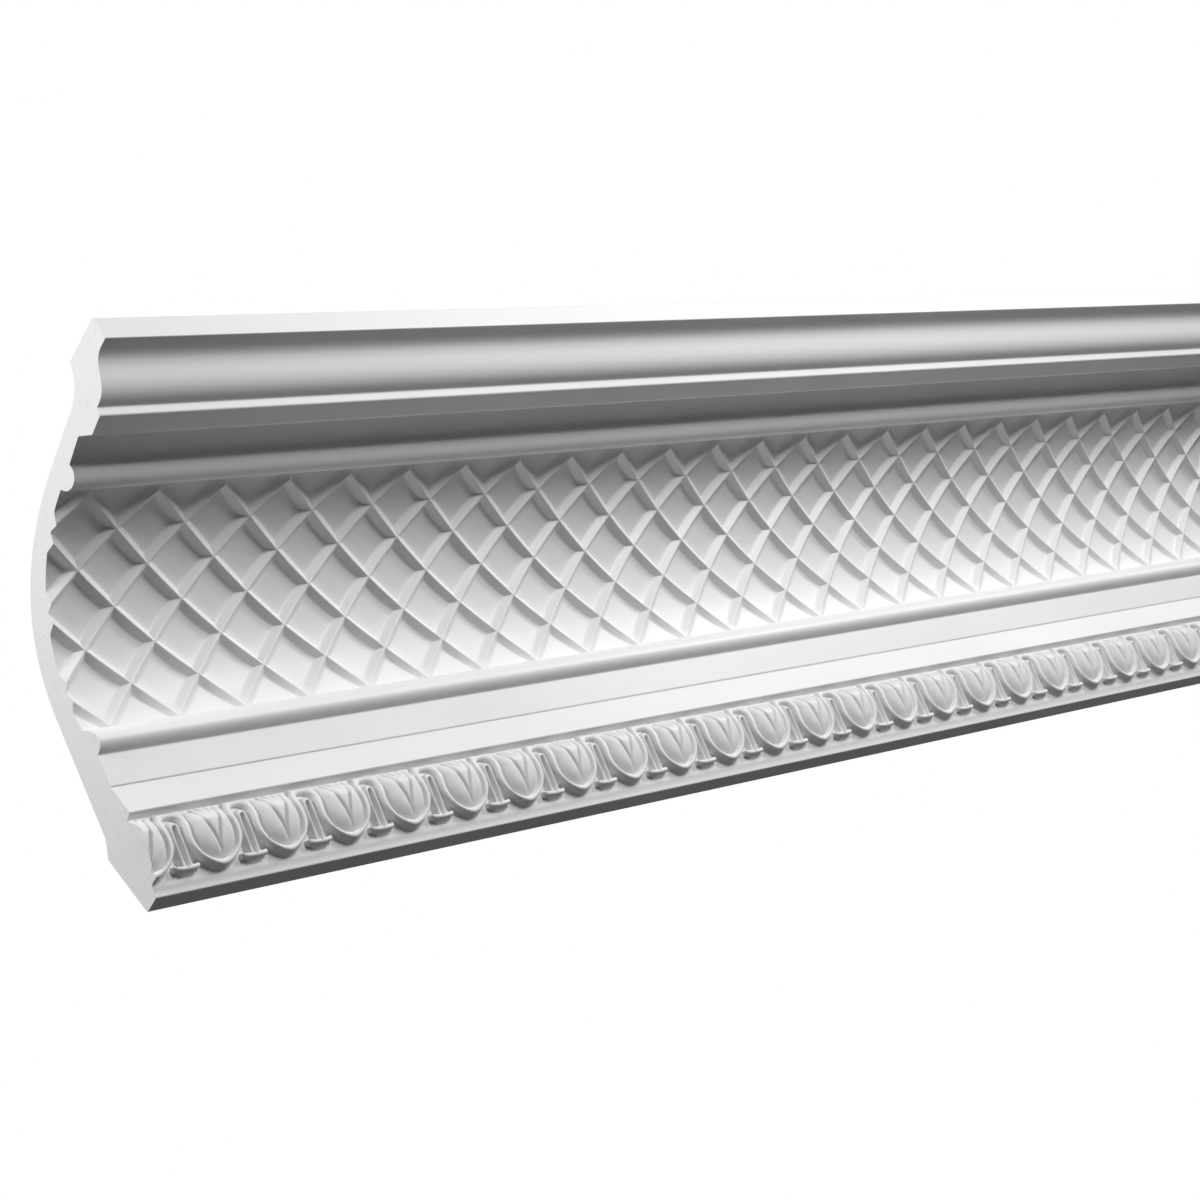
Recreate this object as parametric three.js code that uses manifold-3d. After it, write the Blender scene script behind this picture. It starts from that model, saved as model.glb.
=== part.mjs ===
// A length of coved cornice moulding, cast in one piece, with a diamond lattice in its cove and a
// row of egg and dart along its foot. Units are millimetres. X runs along the length, the wall is
// the plane Y = 0 with the room on its -Y side, +Z is up, and the origin is the middle of the face
// that meets the wall.

import * as THREE from 'three';
import { mergeVertices } from 'three/addons/utils/BufferGeometryUtils.js';
import Module from 'manifold-3d';

// Driving dimensions
const PITCH = 45; // one diamond of the lattice, and one egg
const REPEATS = 25;
const LENGTH = PITCH * REPEATS;
const DROP = 200; // down the wall
const WALL_FACE = 35; // height of the flat that meets the wall
const WALL_FACE_MIDDLE = DROP - WALL_FACE / 2;
const COLOUR = 0xf1f0ec;
const ROUGHNESS = 0.62;

// Corners and curve handles of the section: distance out from the wall, then drop from the ceiling
const CEILING_FRONT = [201, 0];
const FILLET_FOOT = [199.5, 13];
const CYMA_HEAD = [194.5, 13];
const CYMA_HEAD_PULL = [182.5, 13];
const CYMA_FOOT_PULL = [183.5, 28.6];
const CYMA_FOOT = [169.5, 28];
const DRIP_FRONT = [167.5, 32];
const DRIP_BACK = [156.6, 33.2];
const QUIRK = [149.5, 26.1];
const UPPER_BEAD_CENTRE = [127.4, 30.2];
const COVE_CENTRE = [139.2, 134.1];
const LOWER_BEAD_HEAD_PULL = [42, 117.5];
const LOWER_BEAD_FOOT_PULL = [46.5, 126];
const LOWER_BEAD_FOOT = [38.5, 128.2];
const FRIEZE_HEAD = [35.8, 128.7];
const FRIEZE_MIDDLE = [30.1, 145.2];
const FRIEZE_FOOT = [29.7, 161.8];
const EGG_GROUND_HEAD = [24.9, 163.1];
const EGG_GROUND_FOOT = [9.9, DROP];
const WALL_FOOT = [0, DROP];
const WALL_HEAD = [0, DROP - WALL_FACE];
const CHAMFER_HEAD = [6.8, 157.5];
const BACK_LOW = [29, 95];
const BACK_PULL = [51.9, 32.7];
const BACK_HIGH = [127, 19.7];
const BACK_TOP = [153.5, 15.1];
const BACK_TOP_PULL = [167.5, 13.5];
const CEILING_BACK = [174, 0];

// Arcs of the section. Angles turn from the wall, 0 degrees, up to the ceiling, 90 degrees.
const UPPER_BEAD_RADIUS = 7;
const UPPER_BEAD_START = 172.6;
const UPPER_BEAD_END = 330.3;
const COVE_RADIUS = 104;
const COVE_TOP = 78.4;
const COVE_FOOT = 11.5;
const CURVE_STEPS = 8;

// Diamond lattice in the cove
const LATTICE_ROWS = 6; // half diamonds from the upper bead to the lower one
const LATTICE_STEP = (COVE_TOP - COVE_FOOT) / LATTICE_ROWS;
const LATTICE_START = 0.38 * PITCH; // first crossing on the top row, from the cut end
const RIB_HEIGHT = 3.4;
const RIB_END_HEIGHT = 1.2; // where the ribs run out into the beads
const RIB_MITRE = 0.13; // from a crossing to a floor's corner, as a share of the diagonal
const LATTICE_BURIED = 1.5; // how far the cove behind the lattice is set back
const LATTICE_BACK = 3;
const LATTICE_TUCK = 2.5; // degrees that the lattice runs on under the beads

// Egg and dart, on a sloping ground: distance along the length, then down the ground
const EGG_FOOT = 30.3;
const RIBBON_PATH = [
  [PITCH / 2, 0.6],
  [17.6, 1.9],
  [15.2, 6],
  [16.1, 13],
  [15.4, 19],
  [9.9, 25.5],
  [0, EGG_FOOT],
];
const RIBBON_STEPS = 7; // on half an egg
const RIBBON_HALF_WIDTH = 1.2;
const RIBBON_HEIGHT = 5.2;
const RIBBON_RISE = 13; // how far down it comes to its full height
const RIBBON_RISE_START = 2;
const RIBBON_SINK = 1; // how much lower it is at the egg's tip
const RIBBON_SINK_START = 0.5; // share of the egg's length
const GROOVE_OFFSET = 2.4; // from the ribbon's middle to the groove round the leaf
const GROOVE_DEPTH = 1.4;
const FOOT_DRAFT = [0.8, 2.6]; // spread of the ribbon's outer side, at the arch and at the tip
const FOOT_DRAFT_POWER = 3; // the spread stays small down the sides
const LEAF_HEIGHT = 7.4;
const LEAF_RISE = 9;
const LEAF_SINK = 3.2;
const LEAF_CROWN = 0.88; // height half way to the groove, against the middle
const EGG_SHIFT = 0.4; // the cut passes just beside an egg's middle
const RELIEF_BURIED = 1.5;
const RELIEF_TUCKED = 0.4; // edges that just dip under the ground
const DART_HEAD = 5;
const DART_FOOT = 29;
const DART_HALF_WIDTH = 3.1;
const DART_HEIGHT = 2.8;
const DART_HOLLOW = [9, 26]; // head and foot of the hollow in the dart
const DART_HOLLOW_HALF_WIDTH = 1.2;
const DART_CURVE_STEPS = 2;
const BAR_HEAD = 28.3;
const BAR_FOOT = 30.3;
const BAR_HALF_WIDTH = 8;
const BAR_HEIGHT = 2.6;
const WEDGE_FOOT = 34.2;
const WEDGE_HALF_WIDTH = 3.6;

const OVERHANG = PITCH; // everything runs on past the ends before they are cut square
const KEY_DIGITS = 3;
const SAME_PLACE = 1e-3;

const wasm = await Module();
wasm.setup();

// Section and relief points as places in the object's frame
const place = (x, out, drop) => new THREE.Vector3(x, -out, WALL_FACE_MIDDLE - drop);
const flat = ([out, drop]) => [-out, WALL_FACE_MIDDLE - drop];
const radians = THREE.MathUtils.degToRad;

function toSolid(geometry) {
  const bare = geometry.clone();
  bare.deleteAttribute('normal');
  bare.deleteAttribute('uv');
  const merged = mergeVertices(bare);
  return new wasm.Manifold(new wasm.Mesh({
    numProp: 3,
    vertProperties: new Float32Array(merged.attributes.position.array),
    triVerts: new Uint32Array(merged.index.array),
  }));
}

function toGeometry(solid) {
  const mesh = solid.getMesh();
  const geometry = new THREE.BufferGeometry();
  geometry.setAttribute('position', new THREE.BufferAttribute(mesh.vertProperties, 3));
  geometry.setIndex(new THREE.BufferAttribute(mesh.triVerts, 1));
  geometry.computeVertexNormals();
  return geometry;
}

// The plain section, drawn from the ceiling down the face and back up behind
function section() {
  const shape = new THREE.Shape();
  shape.moveTo(...flat(CEILING_FRONT));
  shape.lineTo(...flat(FILLET_FOOT));
  shape.lineTo(...flat(CYMA_HEAD));
  shape.bezierCurveTo(...flat(CYMA_HEAD_PULL), ...flat(CYMA_FOOT_PULL), ...flat(CYMA_FOOT));
  shape.lineTo(...flat(DRIP_FRONT));
  shape.lineTo(...flat(DRIP_BACK));
  shape.lineTo(...flat(QUIRK));
  const beadStart = radians(UPPER_BEAD_START);
  const beadEnd = radians(UPPER_BEAD_END);
  shape.absarc(...flat(UPPER_BEAD_CENTRE), UPPER_BEAD_RADIUS, beadStart, beadEnd, false);
  const coveRadius = COVE_RADIUS + LATTICE_BURIED;
  shape.absarc(...flat(COVE_CENTRE), coveRadius, radians(COVE_TOP), radians(COVE_FOOT), true);
  shape.bezierCurveTo(
    ...flat(LOWER_BEAD_HEAD_PULL),
    ...flat(LOWER_BEAD_FOOT_PULL),
    ...flat(LOWER_BEAD_FOOT),
  );
  shape.lineTo(...flat(FRIEZE_HEAD));
  shape.lineTo(...flat(FRIEZE_MIDDLE));
  shape.lineTo(...flat(FRIEZE_FOOT));
  shape.lineTo(...flat(EGG_GROUND_HEAD));
  shape.lineTo(...flat(EGG_GROUND_FOOT));
  shape.lineTo(...flat(WALL_FOOT));
  shape.lineTo(...flat(WALL_HEAD));
  shape.lineTo(...flat(CHAMFER_HEAD));
  shape.lineTo(...flat(BACK_LOW));
  shape.quadraticCurveTo(...flat(BACK_PULL), ...flat(BACK_HIGH));
  shape.lineTo(...flat(BACK_TOP));
  shape.quadraticCurveTo(...flat(BACK_TOP_PULL), ...flat(CEILING_BACK));
  shape.closePath();
  return shape;
}

function plainBody() {
  const depth = LENGTH + 2 * OVERHANG;
  const options = { depth, bevelEnabled: false, curveSegments: CURVE_STEPS };
  const geometry = new THREE.ExtrudeGeometry(section(), options);
  geometry.translate(0, 0, -depth / 2);
  const alongLength = new THREE.Matrix4().makeBasis(
    new THREE.Vector3(0, 1, 0),
    new THREE.Vector3(0, 0, 1),
    new THREE.Vector3(1, 0, 0),
  );
  geometry.applyMatrix4(alongLength);
  return toSolid(geometry);
}

// A closed slab under a patch of facets, each three points of [along, down, height]. The patch is
// copied at the height of the slab's back, and walls join the open edges of the two.
function slab(facets, toPlace, backHeight) {
  const vertices = [];
  const indexOf = new Map();
  const triangles = [];
  const key = (point) => point.map((value) => value.toFixed(KEY_DIGITS)).join(' ');
  const vertex = (point) => {
    const name = key(point);
    if (!indexOf.has(name)) {
      indexOf.set(name, vertices.length / 3);
      vertices.push(...toPlace(...point).toArray());
    }
    return indexOf.get(name);
  };
  const under = ([along, down]) => [along, down, backHeight];
  const edges = new Map();
  for (const facet of facets) {
    triangles.push(...facet.map(vertex));
    triangles.push(...facet.map(under).reverse().map(vertex));
    facet.forEach((from, corner) => {
      const to = facet[(corner + 1) % 3];
      edges.set(`${key(from)}>${key(to)}`, [from, to]);
    });
  }
  for (const [from, to] of edges.values()) {
    if (edges.has(`${key(to)}>${key(from)}`)) continue;
    triangles.push(...[to, from, under(from)].map(vertex));
    triangles.push(...[to, under(from), under(to)].map(vertex));
  }
  return new wasm.Manifold(new wasm.Mesh({
    numProp: 3,
    vertProperties: new Float32Array(vertices),
    triVerts: new Uint32Array(triangles),
  }));
}

// Two facets on a four-sided patch
const quad = (a, b, c, d) => [[a, b, c], [a, c, d]];

// Lattice: each diamond has a sunk floor and four sloping sides that meet on sharp ribs
function latticeCrossing(row, column) {
  const along = -LENGTH / 2 + LATTICE_START + (column + (row % 2) / 2) * PITCH;
  const inside = row > 0 && row < LATTICE_ROWS;
  return [along, row * LATTICE_STEP, inside ? RIB_HEIGHT : RIB_END_HEIGHT];
}

// The lower half of one diamond, between two crossings of a row
function halfDiamond(left, right, tip) {
  const across = (right[0] - left[0]) * RIB_MITRE;
  const floorLeft = [left[0] + across, left[1], 0];
  const floorRight = [right[0] - across, right[1], 0];
  const floorTip = [tip[0], THREE.MathUtils.lerp(tip[1], left[1], 2 * RIB_MITRE), 0];
  return [
    [floorLeft, floorTip, floorRight],
    ...quad(left, tip, floorTip, floorLeft),
    ...quad(tip, right, floorRight, floorTip),
  ];
}

// The strip that carries the lattice on under a bead
function latticeHem(left, right, down) {
  const across = (right[0] - left[0]) * RIB_MITRE;
  const floorLeft = [left[0] + across, left[1], 0];
  const floorRight = [right[0] - across, right[1], 0];
  const hemLeft = [left[0], down, -LATTICE_BURIED];
  const hemRight = [right[0], down, -LATTICE_BURIED];
  return [
    [hemLeft, left, floorLeft],
    [hemLeft, floorLeft, floorRight],
    [hemLeft, floorRight, hemRight],
    [hemRight, floorRight, right],
  ];
}

const turnedOver = (facets) => facets.map((facet) => [...facet].reverse());

function lattice() {
  const facets = [];
  const hemFoot = LATTICE_ROWS * LATTICE_STEP + LATTICE_TUCK;
  for (let row = 0; row <= LATTICE_ROWS; row += 1) {
    for (let column = -1; column <= REPEATS; column += 1) {
      const left = latticeCrossing(row, column);
      const right = latticeCrossing(row, column + 1);
      const tipColumn = column + (row % 2);
      if (row === 0) facets.push(...latticeHem(left, right, -LATTICE_TUCK));
      else facets.push(...turnedOver(halfDiamond(left, right, latticeCrossing(row - 1, tipColumn))));
      if (row === LATTICE_ROWS) facets.push(...turnedOver(latticeHem(left, right, hemFoot)));
      else facets.push(...halfDiamond(left, right, latticeCrossing(row + 1, tipColumn)));
    }
  }
  const onCove = (along, down, height) => {
    const angle = radians(COVE_TOP - down);
    const radius = COVE_RADIUS - height;
    const out = COVE_CENTRE[0] - radius * Math.cos(angle);
    return place(along, out, COVE_CENTRE[1] - radius * Math.sin(angle));
  };
  return slab(facets, onCove, -LATTICE_BACK);
}

// The sloping ground of the egg and dart, and places on it
const GROUND_SLOPE = new THREE.Vector2(...EGG_GROUND_FOOT)
  .sub(new THREE.Vector2(...EGG_GROUND_HEAD))
  .normalize();

function onGround(along, down, height) {
  const out = EGG_GROUND_HEAD[0] + down * GROUND_SLOPE.x + height * GROUND_SLOPE.y;
  return place(along, out, EGG_GROUND_HEAD[1] + down * GROUND_SLOPE.y - height * GROUND_SLOPE.x);
}

const quarterWave = (share) => Math.sin(Math.min(Math.max(share, 0), 1) * Math.PI / 2);

function ribbonHeight(down) {
  const sunk = Math.max(0, (down / EGG_FOOT - RIBBON_SINK_START) / (1 - RIBBON_SINK_START));
  return RIBBON_HEIGHT * quarterWave((down + RIBBON_RISE_START) / RIBBON_RISE) - RIBBON_SINK * sunk ** 2;
}

function leafHeight(down) {
  if (down < 0) return -RELIEF_TUCKED;
  const sunk = Math.max(0, (down - LEAF_RISE) / (EGG_FOOT - LEAF_RISE));
  return LEAF_HEIGHT * quarterWave(down / LEAF_RISE) - LEAF_SINK * sunk ** 2;
}

// Points across one half of an egg at a step of its ribbon: the leaf's middle and side, the groove,
// the ribbon's two shoulders and the foot of its outer side
function eggRow(ribbon, step) {
  const share = step / RIBBON_STEPS;
  const middle = ribbon.getPointAt(share);
  const tangent = ribbon.getTangentAt(share);
  const level = step === 0 || step === RIBBON_STEPS;
  const inward = level ? new THREE.Vector2(0, -1) : new THREE.Vector2(-tangent.y, tangent.x);
  const height = ribbonHeight(middle.y);
  const spread = THREE.MathUtils.lerp(...FOOT_DRAFT, share ** FOOT_DRAFT_POWER);
  const beside = (offset, tall) => [middle.x + inward.x * offset, middle.y + inward.y * offset, tall];
  const groove = beside(GROOVE_OFFSET, height - GROOVE_DEPTH);
  const leafMiddle = step === RIBBON_STEPS ? groove : [0, groove[1], leafHeight(groove[1])];
  const leafSide = [groove[0] / 2, groove[1], THREE.MathUtils.lerp(groove[2], leafMiddle[2], LEAF_CROWN)];
  return [
    leafMiddle,
    step === RIBBON_STEPS ? groove : leafSide,
    groove,
    beside(RIBBON_HALF_WIDTH, height),
    beside(-RIBBON_HALF_WIDTH, height),
    beside(-RIBBON_HALF_WIDTH - spread, -RELIEF_TUCKED),
  ];
}

const samePoint = (a, b) => a.every((value, index) => Math.abs(value - b[index]) < SAME_PLACE);
const hasArea = ([a, b, c]) => !samePoint(a, b) && !samePoint(b, c) && !samePoint(c, a);

function eggs() {
  const ribbon = new THREE.SplineCurve(RIBBON_PATH.map((point) => new THREE.Vector2(...point)));
  const rows = Array.from({ length: RIBBON_STEPS + 1 }, (_, step) => eggRow(ribbon, step));
  const rightHalf = [];
  for (let step = 0; step < RIBBON_STEPS; step += 1) {
    for (let column = 0; column + 1 < rows[step].length; column += 1) {
      const [above, below] = [rows[step], rows[step + 1]];
      rightHalf.push(...quad(above[column], below[column], below[column + 1], above[column + 1]));
    }
  }
  const mirrored = ([along, down, height]) => [-along, down, height];
  const leftHalf = turnedOver(rightHalf).map((facet) => facet.map(mirrored));
  const facets = [];
  for (let egg = -1; egg <= REPEATS + 1; egg += 1) {
    const start = -LENGTH / 2 + EGG_SHIFT + egg * PITCH;
    const moved = ([along, down, height]) => [start + along, down, height];
    facets.push(...[...rightHalf, ...leftHalf].filter(hasArea).map((facet) => facet.map(moved)));
  }
  return slab(facets, onGround, -RELIEF_BURIED);
}

// Dart: a round-headed tongue with a pointed hollow, drawn flat and raised off the ground
function dartTongue() {
  const shoulder = -(DART_HEAD + DART_HALF_WIDTH);
  const outline = new THREE.Shape();
  outline.moveTo(DART_HALF_WIDTH, -DART_FOOT);
  outline.lineTo(DART_HALF_WIDTH, shoulder);
  outline.absarc(0, shoulder, DART_HALF_WIDTH, 0, Math.PI, false);
  outline.lineTo(-DART_HALF_WIDTH, -DART_FOOT);
  outline.closePath();
  const [head, foot] = DART_HOLLOW;
  const hollow = new THREE.Path();
  const middle = -(head + foot) / 2;
  hollow.moveTo(0, -head);
  hollow.quadraticCurveTo(2 * DART_HOLLOW_HALF_WIDTH, middle, 0, -foot);
  hollow.quadraticCurveTo(-2 * DART_HOLLOW_HALF_WIDTH, middle, 0, -head);
  outline.holes.push(hollow);
  const depth = DART_HEIGHT + RELIEF_BURIED;
  const options = { depth, bevelEnabled: false, curveSegments: DART_CURVE_STEPS };
  const geometry = new THREE.ExtrudeGeometry(outline, options);
  geometry.translate(0, 0, -RELIEF_BURIED);
  return geometry;
}

function dart(start) {
  const origin = onGround(start, 0, 0);
  const onto = new THREE.Matrix4().makeBasis(
    new THREE.Vector3(1, 0, 0),
    origin.clone().sub(onGround(start, 1, 0)),
    onGround(start, 0, 1).sub(origin),
  );
  onto.setPosition(origin);
  const tongue = toSolid(dartTongue().applyMatrix4(onto));
  const edge = (halfWidth, down, height) => [
    [start - halfWidth, down, height],
    [start + halfWidth, down, height],
  ];
  const [headLeft, headRight] = edge(BAR_HALF_WIDTH, BAR_HEAD, BAR_HEIGHT);
  const [barLeft, barRight] = edge(BAR_HALF_WIDTH, BAR_FOOT, BAR_HEIGHT);
  const [tipLeft, tipRight] = edge(WEDGE_HALF_WIDTH, WEDGE_FOOT, -RELIEF_TUCKED);
  const foot = [
    ...quad(headLeft, barLeft, barRight, headRight),
    ...quad(barLeft, tipLeft, tipRight, barRight),
  ];
  return tongue.add(slab(foot, onGround, -RELIEF_BURIED));
}

function cornice() {
  let solid = plainBody().add(lattice()).add(eggs());
  for (let egg = 0; egg < REPEATS; egg += 1) {
    solid = solid.add(dart(-LENGTH / 2 + EGG_SHIFT + (egg + 0.5) * PITCH));
  }
  const room = 4 * DROP;
  const length = toSolid(new THREE.BoxGeometry(LENGTH, room, room));
  return toGeometry(solid.intersect(length));
}

const material = new THREE.MeshStandardMaterial({ color: COLOUR, roughness: ROUGHNESS, metalness: 0 });
const mesh = new THREE.Mesh(cornice(), material);
mesh.name = 'cornice';

const part = new THREE.Group();
part.add(mesh);

export default part;
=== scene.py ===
# Dresses a length of coved cornice: the carved face, the sawn ends, the back and a plain studio
import math

import bmesh
import bpy
import numpy as np
from bpy.props import FloatProperty, FloatVectorProperty, PointerProperty
from mathutils import Matrix, Vector


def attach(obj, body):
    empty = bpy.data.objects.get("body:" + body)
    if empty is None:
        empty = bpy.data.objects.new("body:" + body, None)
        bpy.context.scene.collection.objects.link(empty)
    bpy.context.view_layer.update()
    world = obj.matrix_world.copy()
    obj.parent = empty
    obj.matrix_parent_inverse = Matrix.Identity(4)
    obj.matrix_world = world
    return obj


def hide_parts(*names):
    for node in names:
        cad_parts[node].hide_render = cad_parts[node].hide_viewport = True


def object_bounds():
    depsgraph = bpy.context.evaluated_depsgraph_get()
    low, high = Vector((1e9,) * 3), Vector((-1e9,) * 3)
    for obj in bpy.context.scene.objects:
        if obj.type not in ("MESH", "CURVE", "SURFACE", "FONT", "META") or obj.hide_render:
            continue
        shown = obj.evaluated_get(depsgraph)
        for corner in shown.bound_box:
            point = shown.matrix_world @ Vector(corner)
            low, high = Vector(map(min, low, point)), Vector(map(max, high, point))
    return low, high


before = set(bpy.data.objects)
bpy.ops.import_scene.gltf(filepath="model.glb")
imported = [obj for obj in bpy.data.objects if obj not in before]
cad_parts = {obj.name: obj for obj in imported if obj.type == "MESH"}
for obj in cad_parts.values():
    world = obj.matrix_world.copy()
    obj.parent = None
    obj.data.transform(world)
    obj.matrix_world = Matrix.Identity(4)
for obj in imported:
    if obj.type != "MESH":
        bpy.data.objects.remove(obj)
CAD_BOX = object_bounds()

bl_info = {
    "name": "Cornice Moulding",
    "version": (1, 0, 0),
    "blender": (4, 5, 0),
    "location": "3D View > Sidebar > Cornice",
    "description": "Builds a cast cornice with a diamond lattice and egg and dart, and a studio for it",
    "category": "Add Mesh",
}

NODE = "cornice"
BODY = "root"


def mm(*sizes):
    """One size, or a list of them, in millimetres, as metres."""
    metres = np.array(sizes, float) / 1000
    return metres if len(sizes) > 1 else float(metres[0])


# The section: each place is its distance out from the wall, then its drop from the ceiling
DROP = mm(200)
WALL_FACE = mm(35)
WALL_FACE_MIDDLE = DROP - WALL_FACE / 2
CEILING_FRONT = mm(201, 0)
FILLET_FOOT = mm(199.5, 13)
CYMA_HEAD = mm(194.5, 13)
CYMA_HEAD_PULL = mm(182.5, 13)
CYMA_FOOT_PULL = mm(183.5, 28.6)
CYMA_FOOT = mm(169.5, 28)
DRIP_FRONT = mm(167.5, 32)
DRIP_BACK = mm(156.6, 33.2)
QUIRK = mm(149.5, 26.1)
UPPER_BEAD_CENTRE = mm(127.4, 30.2)
UPPER_BEAD_RADIUS = mm(7)
UPPER_BEAD_START = math.radians(7.4)  # from straight out, turning up is positive
COVE_CENTRE = mm(139.2, 134.1)
COVE_RADIUS = mm(104)
COVE_TOP = math.radians(78.4)  # from the wall, 0, up to the ceiling
COVE_FOOT = math.radians(11.5)
LOWER_BEAD_HEAD_PULL = mm(42, 117.5)
LOWER_BEAD_FOOT_PULL = mm(46.5, 126)
LOWER_BEAD_FOOT = mm(38.5, 128.2)
FRIEZE_HEAD = mm(35.8, 128.7)
FRIEZE_MIDDLE = mm(30.1, 145.2)
FRIEZE_FOOT = mm(29.7, 161.8)
EGG_GROUND_HEAD = mm(24.9, 163.1)
EGG_GROUND_FOOT = mm(9.9, 200)
WALL_FOOT = mm(0, 200)
WALL_HEAD = mm(0, 165)
CHAMFER_HEAD = mm(6.8, 157.5)
BACK_LOW = mm(29, 95)
BACK_PULL = mm(51.9, 32.7)
BACK_HIGH = mm(127, 19.7)
BACK_TOP = mm(153.5, 15.1)
BACK_TOP_PULL = mm(167.5, 13.5)
CEILING_BACK = mm(174, 0)
CURVE_STEPS = 18
BEAD_STEPS = 16
UPPER_RIM = mm(3.2)  # height over the cove where the upper bead's straight run ends
LOWER_RIM = mm(1.7)
MEETING_STEPS = 160
CORNER_TURN = math.radians(24)  # a sharper turn than this is an arris
CORNER_STEPS = 3
CORNER_SHARE = 0.35  # the most of a side that its arris may take
SUPPORT_SHARE = 1.5  # where a flat starts, against the arris

# Diamond lattice: places are the distance along, the row of crossings and the height
LATTICE_ROWS = 6
LATTICE_STEP = (COVE_TOP - COVE_FOOT) / LATTICE_ROWS
LATTICE_START = 0.38  # first crossing of the top row from the cut end, in pitches
RIB_MITRE = 0.13  # from a crossing to a floor's corner, as a share of the diagonal
RIB_PROFILE = (  # inset in mitres, and share of the rib's height
    (0, 1),
    (0.09, 0.96),
    (0.2, 0.84),
    (0.8, 0.17),
    (0.96, 0.03),
    (1.15, 0),
)
CELL_STEPS = 6
HEM_FALL = 0.9  # height of the lattice where it meets the upper bead, against the top row

# Egg and dart: places are the distance along from an egg's middle, then down the ground
EGG_SHIFT = mm(0.4)  # the cut passes just beside an egg's middle
EGG_BAND = mm(36)
EGG_FOOT = mm(30.3)
RIBBON_PATH = mm(
    (22.5, 1.1), (17.8, 2.2), (15.3, 6), (16.1, 13), (15.4, 19), (9.9, 25.8), (0, 30.3)
)
RIBBON_RISE = mm(13)
RIBBON_RISE_START = mm(2)
RIBBON_SINK = 0.08  # how much lower it is at the egg's tip, as a share
RIBBON_FOOT = mm(2.1)
RIBBON_POWER = 2.4  # how square its outer side is
RIBBON_SHOULDER = mm(2)
TIP_FOOT = mm(3.6)  # reach of the wall under an egg's tip
TIP_POWER = 3  # how soon that wall runs out up the egg's sides
LEAF_EDGE = mm(
    (14.4, -1), (13.4, 2), (12.6, 8), (13.3, 13.7), (13, 17.8), (11.1, 22.5), (8.3, 25), (5, 27), (0, 28.3)
)
LEAF_RISE = mm(9)
LEAF_SINK = 0.43
LEAF_ROUND = mm(7.5)
VEIN_PATH = mm((8, 0.4), (5.6, 6), (4, 10), (2.1, 15), (1.2, 18), (0.3, 22), (0, 26.5))
VEIN_LIP = mm(1.8)
VEIN_FADE = 3  # how late a cut runs out toward its foot
NOTCH_PATH = mm((3.7, 0.4), (2.2, 3), (0, 6.4))
NOTCH_LIP = mm(1.4)
NOTCH_DEPTH = 0.6  # against the veins
DART_HEAD = mm(5)
DART_HALF_WIDTH = mm(3.8)
DART_FOOT = mm(29.4)
DART_HOLLOW = mm(6.5, 31)
DART_HOLLOW_HALF_WIDTH = mm(1.1)
DART_HOLLOW_POWER = 0.8
BAR_MIDDLE = mm(29.5)
BAR_BOW = mm(0.9)
BAR_HALF_WIDTH = mm(8.2)
BAR_HALF_DEPTH = mm(1.5)
BAR_POWER = 3
WEDGE_FOOT = mm(33.2)
WEDGE_HALF_WIDTH = mm(6.4, 4)  # under the bar and at its foot
END_POWER = 6
WEDGE_POWER = 4
TOP_FADE = mm(1.4)
BLEND = mm(0.3)  # how soft the inner corners of the carving are
LINE_STEPS = 24
GRID_STEP = mm(0.25)
RIM_REACH = GRID_STEP / 3  # a thinned rim is set straight within this
HALF_EGG_FACES = 2400

SPARE_REPEATS = 2  # so that the saw has something to cut at both ends
WELD = mm(0.01)
SMOOTH_ANGLE = math.radians(48)
BACK_TURN = 0.5  # a face turned this far to the wall and the ceiling is a back
COAT, CORE, BACK = range(3)  # material slots of the casting

# Surfaces: scales are features to the metre
COAT_ROUGHNESS = 0.5
COAT_DRIFT = 0.975  # the darkest tone against the colour
DRIFT_SCALE = 9
DRIFT_DETAIL = 3
DRIFT_SPAN = (0.35, 0.7)
SHEEN_SPAN = (0.3, 0.7)
SHEEN_DRIFT = 0.05
GRAIN_SCALE = 1100
GRAIN_DETAIL = 2
PIT_SCALE = 260
PIT_SIZE = 0.12
CORE_ROUGHNESS = 0.8
CORE_DRIFT = 0.86
PORE_SCALE = 700
PORE_SIZE = 0.4
SPECK_SCALE = 160
SPECK_DETAIL = 4
SPECK_ROUGHNESS = 0.7
SPECK_SPAN = (0.58, 0.75)
SAW_SCALE = 40
SAW_DISTORTION = 2
SAW_DEPTH = 0.25  # against the pores
BACK_ROUGHNESS = 0.75
BACK_DRIFT = 0.93
BACK_DRIFT_DETAIL = 4
BACK_GRAIN_SCALE = 550
BACK_GRAIN_DETAIL = 3
BACK_GRAIN = 2  # against the coat's grain
FLOOR_ROUGHNESS = 0.8

# Studio: places and directions in the part's own frame
LIGHT_SIZE = 0.45  # side of the square lights
LIGHT_AIM = (0, -0.1, 0.08)
KEY_PLACE = (0, -1.39, 0.22)
SIDE_PLACE = (3.03, -2.64, 0.71)
SIDE_SIZE = 0.9
FILL_PLACE = (-1.25, -0.21, 0.42)
REAR_FROM = (0, 0.5, 0.86)
REAR_SPREAD = math.radians(20)
CAMERA_PLACE = (-1.5492, -0.9389, -0.6889)
CAMERA_FORWARD = (0.76102, 0.48621, 0.42947)
CAMERA_UP = (0.08764, -0.73301, 0.67455)


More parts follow.
